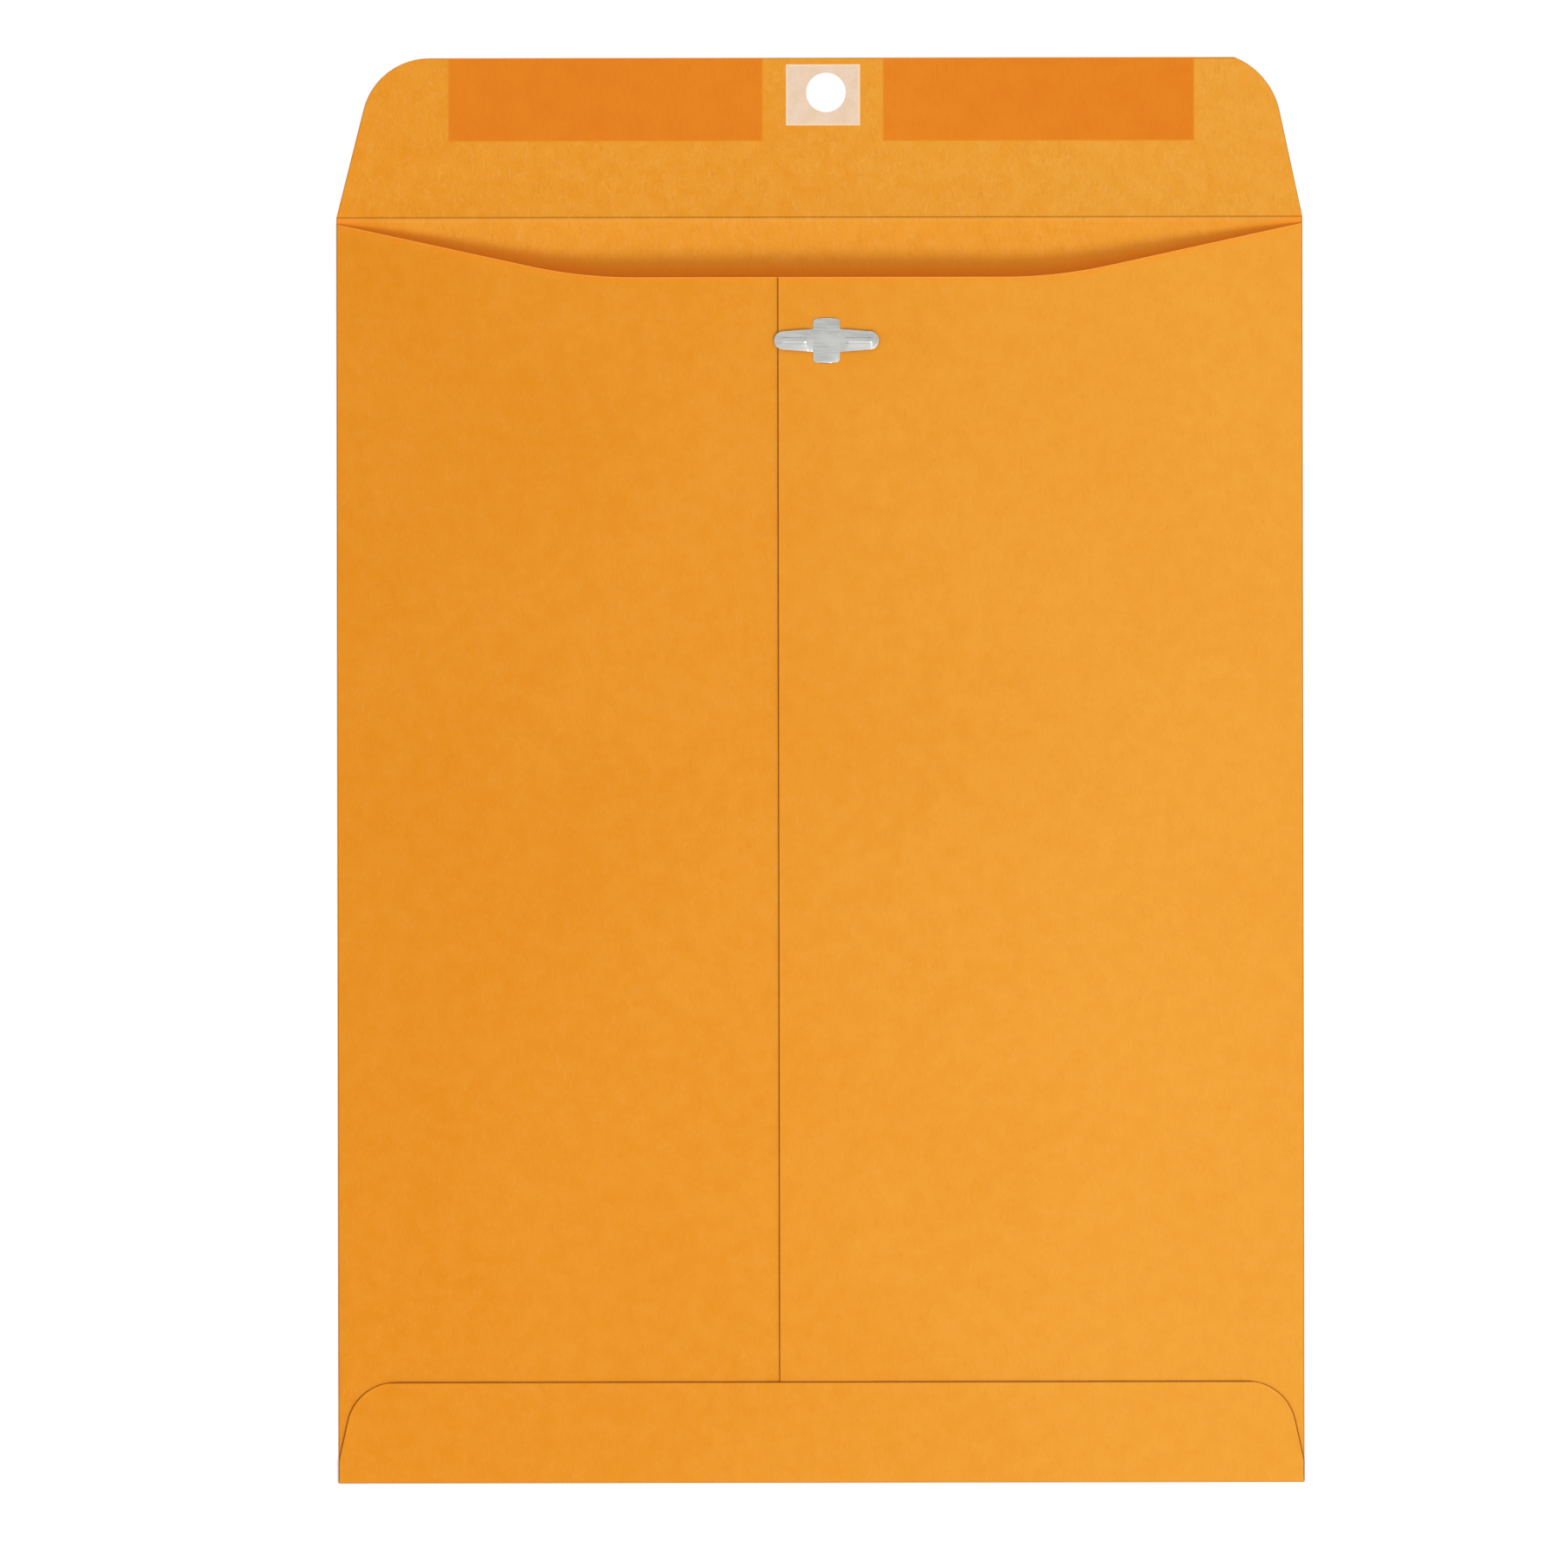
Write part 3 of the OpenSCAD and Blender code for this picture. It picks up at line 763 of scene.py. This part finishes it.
class Finish:
    """A material in the making, with one Principled shader."""

    def __init__(self, name, **plain):
        self.material = bpy.data.materials.new(name)
        self.material.use_nodes = True
        self.tree = self.material.node_tree
        self.shader = self.tree.nodes["Principled BSDF"]
        self.place = add(self.tree, "ShaderNodeTexCoord").outputs["Object"]
        self.set(**plain)

    def group(self, name, **inputs):
        """A shader group at this surface's place, as its terms."""
        made = add(self.tree, "ShaderNodeGroup", node_tree=GROUPS[name])
        feed_all(self.tree, made, {"Place": self.place, **inputs})
        return [Term(self.tree, socket) for socket in made.outputs]

    def values(self, *names):
        """Attributes of the surface as terms."""
        made = [add(self.tree, "ShaderNodeAttribute", attribute_name=name) for name in names]
        return [Term(self.tree, node.outputs["Fac"]) for node in made]

    def noise(self, scale, detail, stretch):
        """Noise from 0 to 1 with a number of bumps a metre, stretched along the axes."""
        spot = add(self.tree, "ShaderNodeMapping", {"Vector": self.place, "Scale": stretch})
        made = add(self.tree, "ShaderNodeTexNoise", {
            "Vector": spot.outputs[0], "Scale": scale, "Detail": detail})
        return Term(self.tree, made.outputs[0])

    def layered(self, colour, *layers):
        """A colour under layers, each of which is a tint and the share that it covers."""
        for tint, share in layers:
            made = add(self.tree, "ShaderNodeMix", {0: share, 6: colour, 7: tint},
                       data_type="RGBA")
            colour = made.outputs[2]
        return colour

    def set(self, **inputs):
        """Feeds inputs of the shader."""
        feed_all(self.tree, self.shader, inputs)

    def relief(self, height, depth):
        """Bumps the surface by a height from 0 to 1 times a depth."""
        bump = add(self.tree, "ShaderNodeBump", {
            "Strength": 1.0, "Distance": depth, "Height": height})
        self.set(Normal=bump.outputs[0])


# Tints of the kraft: its inner and outer face, a paler tone that wanders at random and carries
# painted light toward one side, painted light in the mouth, a painted warm glow at the throat,
# its pale fibres and painted highlights, its dark fibres, its cut edges with the painted shade of
# its score and folds, and the painted shadow lines of its free edges
KRAFT = linear(235, 148, 26)
KRAFT_SMOOTH = linear(230, 140, 17)
KRAFT_TONE_AND_SIDE_LIGHT = linear(238, 160, 47)
KRAFT_PAINTED_GLOW = linear(253, 143, 20)
KRAFT_PAINTED_LIGHT = linear(247, 161, 41)
KRAFT_PALE_AND_HIGHLIGHT = linear(246, 190, 110)
KRAFT_DARK = linear(206, 116, 14)
KRAFT_CUT_EDGE_AND_SHADE = linear(132, 76, 14)
KRAFT_EDGE_SHADOW = linear(125, 44, 0)

# Tints of the gum, the patch, the glue and the metal, with the painted shade at the foot of the
# clasp's beads
GUM = linear(227, 125, 15)
GUM_THIN = linear(233, 134, 25)
GUM_PALE = linear(240, 148, 40)
GUM_DARK = linear(204, 102, 8)
PATCH = linear(234, 203, 172)
PATCH_CLOUD = linear(238, 211, 186)
PATCH_PALE = linear(244, 226, 206)
PATCH_DARK = linear(226, 186, 148)
PATCH_RIM = linear(249, 222, 186)
GLUE = linear(222, 205, 158)
GLUE_DARK = linear(206, 178, 118)
TIN = linear(196, 196, 193)
TIN_BRUSHED = linear(176, 176, 174)
TIN_BLOOM = linear(206, 205, 200)
TIN_FOOT_SHADE = linear(112, 112, 112)


def kraft_paper():
    """Golden kraft with a paler tone that wanders at random and grows toward one side as painted
    light, painted light in the pocket's mouth and a painted warm glow at the throat. Its inner
    face shows more fibres than the smooth outer one. It has painted shade in the score where the
    flap creases and on the rims of its folds, darker cut edges, painted shadow lines along its
    free edges, and painted highlights beside the score and on the throat's edge."""
    finish = Finish("golden_kraft", Specular_IOR_Level=0.15)
    pale, dark, relief = finish.group("fibres")
    cloud, drift = finish.group("clouds")
    inner, cut, edge_shading = finish.values("inner_face", "cut_edge", "painted_edge_shading")
    x, y, z = parts_of(finish.tree, finish.place)
    crease = y - CREASE_Y
    throat = y - throat_y(SHEET_SIZES, x)
    on_table = z.ramp(1 * MM, 0.5 * MM)

    # Painted light in the mouth between the crease and the throat, and a painted warm glow on the
    # lip of the throat and in the shade under it, which reaches further in where the throat is
    # deep
    mouth = throat.ramp(0.5 * MM, 2.5 * MM) * crease.ramp(-0.2 * MM, -0.8 * MM)
    middle = (HALF_W - abs(x)).ramp(4 * MM, 20 * MM)
    lip = throat.ramp(-2.5 * MM, -0.4 * MM) * (1 - inner) * (1 - on_table)
    shade = throat.ramp(((throat - crease) * 0.52).at_least(4.5 * MM), -0.5 * MM)

    # Painted shade in the score and a painted highlight on the paper beside it, and painted shade
    # on the rims of the side folds and the bottom fold
    score = abs(crease).ramp(0.32 * MM, 0.12 * MM) * on_table
    ridge_highlight = abs(crease + 0.8 * MM).ramp(0.7 * MM, 0.2 * MM) * on_table
    side_fold = abs(x).ramp(HALF_W - 0.45 * MM, HALF_W - 0.1 * MM) * (-crease).over(0.0)
    bottom_fold = y.ramp(BOTTOM_Y + 0.45 * MM, BOTTOM_Y + 0.1 * MM)
    score_and_fold_shade = score.at_least(side_fold).at_least(bottom_fold)

    # Where a share lies between two, the first is for the outer face
    colour = finish.layered(
        KRAFT_SMOOTH,
        (KRAFT, inner),
        # Paler tone: random clouds, and painted light that grows from the left side to the right
        (KRAFT_TONE_AND_SIDE_LIGHT, x.ramp(-HALF_W, HALF_W) * 0.8 + cloud * 0.15 + drift * 0.15),
        # Painted light that brightens the mouth between the crease and the throat
        (KRAFT_PAINTED_LIGHT, mouth * middle * inner * 0.8),
        # Painted warm glow on the lip of the throat
        (KRAFT_PAINTED_GLOW, lip * 0.35),
        (KRAFT_DARK, (1 - cloud) * between(0.035, 0.09, inner)),
        (KRAFT_PALE_AND_HIGHLIGHT, cloud * between(0.015, 0.055, inner)),
        (KRAFT_PALE_AND_HIGHLIGHT, pale * between(0.12, 0.27, inner)),
        (KRAFT_DARK, dark * between(0.19, 0.27, inner)),
        # Painted warm glow in the shade under the throat, standing in for light bounced and let
        # through by the paper
        (KRAFT_PAINTED_GLOW, shade * inner * 0.9),
        # Painted highlight beside the score
        (KRAFT_PALE_AND_HIGHLIGHT, ridge_highlight * inner * 0.09),
        # Painted shade in the score and on the rims of the folds, and the darker colour of the
        # cut edges
        (KRAFT_CUT_EDGE_AND_SHADE, (score_and_fold_shade * 0.45).at_least(cut * 0.25)),
        # Painted shadow lines along the free edges, then painted highlights on the throat's edge
        (KRAFT_EDGE_SHADOW, (edge_shading * 1.6).at_least(0.0).at_most(0.95)),
        (KRAFT_PALE_AND_HIGHLIGHT, (-edge_shading).at_least(0.0) * 0.45))
    finish.set(Base_Color=colour, Roughness=relief.ramp(0.3, 0.7, 0.74, 0.6))
    finish.relief(relief, 0.02 * MM)
    return finish.material


def dried_gum(node):
    """Dried gum on kraft: a deeper orange film with a low gloss and a soft rim, which runs
    on at the edge of the flap."""
    low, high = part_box(node)
    beyond_flap = (high.x, high.y + 1, high.z)
    finish = Finish("dried_gum_" + node.rsplit("_", 1)[-1], Specular_IOR_Level=0.15)
    pale, dark, relief = finish.group("fibres")
    cloud, drift = finish.group("clouds", Cloud_Size=9 * MM)
    [inside] = finish.group("rim", Low_Corner=low, High_Corner=beyond_flap, Rim_Width=0.5 * MM)
    colour = finish.layered(
        GUM,
        (GUM_THIN, cloud * 0.5 + drift * 0.5),
        (GUM_PALE, pale * 0.15),
        (GUM_DARK, dark * 0.2),
        (KRAFT, (1 - inside) * 0.7))
    finish.set(Base_Color=colour, Roughness=cloud.ramp(0.0, 1.0, 0.42, 0.55))
    finish.relief(relief, 0.01 * MM)
    return finish.material


def patch_paper():
    """Thin pale paper of the reinforcing patch, which the kraft shows through a little."""
    low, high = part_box("reinforcement_patch")
    finish = Finish("pale_patch_paper", Specular_IOR_Level=0.2)
    pale, dark, relief = finish.group("fibres", Fibre_Width=0.3 * MM, Fibre_Length=1.2 * MM)
    cloud, _ = finish.group("clouds", Cloud_Size=4 * MM)
    [inside] = finish.group("rim", Low_Corner=low, High_Corner=high, Rim_Width=0.7 * MM)
    colour = finish.layered(
        PATCH,
        (PATCH_CLOUD, cloud),
        (PATCH_PALE, pale * 0.5),
        (PATCH_DARK, dark * 0.35),
        (PATCH_RIM, 1 - inside))
    finish.set(Base_Color=colour, Roughness=relief.ramp(0.3, 0.7, 0.65, 0.5))
    finish.relief(relief, 0.02 * MM)
    return finish.material


def envelope_glue():
    """Dried film of envelope glue between two layers of the sheet."""
    finish = Finish("dried_envelope_glue", Specular_IOR_Level=0.5)
    cloud, drift = finish.group("clouds", Cloud_Size=3 * MM)
    colour = finish.layered(GLUE, (GLUE_DARK, cloud * 0.7))
    finish.set(Base_Color=colour, Roughness=cloud.ramp(0.0, 1.0, 0.3, 0.5))
    finish.relief(drift, 0.01 * MM)
    return finish.material


def tinned_metal():
    """Tinned sheet metal, finely brushed along the strip, with painted shade at the foot of the
    beads.
    """
    finish = Finish("brushed_tin", Metallic=1.0)
    brushed = finish.noise(scale=2200.0, detail=3.0, stretch=(0.06, 1.0, 1.0))
    bloom = finish.noise(scale=260.0, detail=2.0, stretch=(0.5, 1.0, 1.0))
    x, y, _ = parts_of(finish.tree, finish.place)
    out, beside = abs(x - HOLE_X), abs(y - CLASP_Y)
    along_bead = (out.ramp(BEAD_START - 0.6 * MM, BEAD_START)
                  * out.ramp(BEAD_STOP + 0.6 * MM, BEAD_STOP))
    # Painted shade along the foot of each bead
    bead_foot_shade = abs(beside - BEAD_HALF).ramp(0.3 * MM, 0.0) * along_bead
    colour = finish.layered(
        TIN,
        (TIN_BRUSHED, brushed.ramp(0.35, 0.65)),
        (TIN_BLOOM, bloom.ramp(0.4, 0.7) * 0.6),
        (TIN_FOOT_SHADE, bead_foot_shade * 0.35))
    finish.set(Base_Color=colour, Roughness=brushed.ramp(0.3, 0.7, 0.2, 0.36))
    finish.relief(brushed, 0.003 * MM)
    return finish.material


def dress_nodes():
    """Gives the pieces that stay as they came in model.glb their finish."""
    glue = envelope_glue()
    finishes = {
        "gum_strip_left": dried_gum("gum_strip_left"),
        "gum_strip_right": dried_gum("gum_strip_right"),
        "reinforcement_patch": patch_paper(),
        "seam_glue": glue,
        "bottom_flap_glue": glue,
    }
    for node, finish in finishes.items():
        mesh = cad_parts[node].data
        mesh.materials.clear()
        mesh.materials.append(finish)


# The surroundings

def seen_share(tree):
    """1 for the rays of the camera and for what metal mirrors or glass shows."""
    path = add(tree, "ShaderNodeLightPath")
    seen = [Term(tree, path.outputs[name]) for name in (
        "Is Camera Ray", "Is Glossy Ray", "Is Transmission Ray")]
    return seen[0].at_least(seen[1]).at_least(seen[2])


def table_white():
    """White that a picture shows as plain white, and that still takes a shadow: a pale
    surface with a little glow for the camera and for what mirrors it."""
    finish = Finish("white_table", Roughness=0.9, Specular_IOR_Level=0.0)
    away = add(finish.tree, "ShaderNodeVectorMath", {0: finish.place}, operation="LENGTH")
    glow = Term(finish.tree, away.outputs["Value"]).ramp(*TABLE_GLOW_REACH, *TABLE_GLOW)
    finish.set(
        Base_Color=linear(TABLE_LEVEL, TABLE_LEVEL, TABLE_LEVEL),
        Emission_Color=(1.0, 1.0, 1.0, 1.0),
        Emission_Strength=seen_share(finish.tree) * glow)
    return finish.material


def make_table():
    """A large plain white table."""
    ways = ((-1, -1), (1, -1), (1, 1), (-1, 1))
    corners = [(TABLE_HALF * x, TABLE_HALF * y, 0.0) for x, y in ways]
    mesh = bpy.data.meshes.new("table")
    mesh.from_pydata(corners, [], [(0, 1, 2, 3)])
    mesh.materials.append(table_white())
    new_object("table", mesh)


def make_world():
    """Even white light from all sides, and plain white behind the table."""
    world = bpy.data.worlds.new("studio")
    world.use_nodes = True
    tree = world.node_tree
    background = tree.nodes["Background"]
    background.inputs["Color"].default_value = (1.0, 1.0, 1.0, 1.0)
    feed(tree, background.inputs["Strength"], seen_share(tree).ramp(0.0, 1.0, ROOM_LIGHT, 1.0))
    bpy.context.scene.world = world


def make_lamp():
    """A soft square lamp that faces the middle of the envelope."""
    data = bpy.data.lights.new("key_lamp", "AREA")
    data.size = LAMP_SIZE
    data.energy = LAMP_POWER
    lamp = new_object("key_lamp", data)
    lamp.location = LAMP_PLACE
    lamp.rotation_euler = lamp.location.to_track_quat("Z", "Y").to_euler()
    lamp.visible_camera = False


def make_camera():
    """A long lens straight above, with the frame of the picture."""
    data = bpy.data.cameras.new("camera")
    data.sensor_width = SENSOR_W
    data.lens = SENSOR_W * CAMERA_HEIGHT / PICTURE_W
    camera = new_object("camera", data)
    camera.location = (*PICTURE_MIDDLE, CAMERA_HEIGHT)
    camera.rotation_euler = (0.0, 0.0, CAMERA_ROLL)
    bpy.context.scene.camera = camera


bpy.context.scene.view_settings.view_transform = "Standard"
make_camera()
make_table()
make_world()
make_lamp()
fold_sheet(kraft_paper())
stamp_clasp(tinned_metal())
dress_nodes()
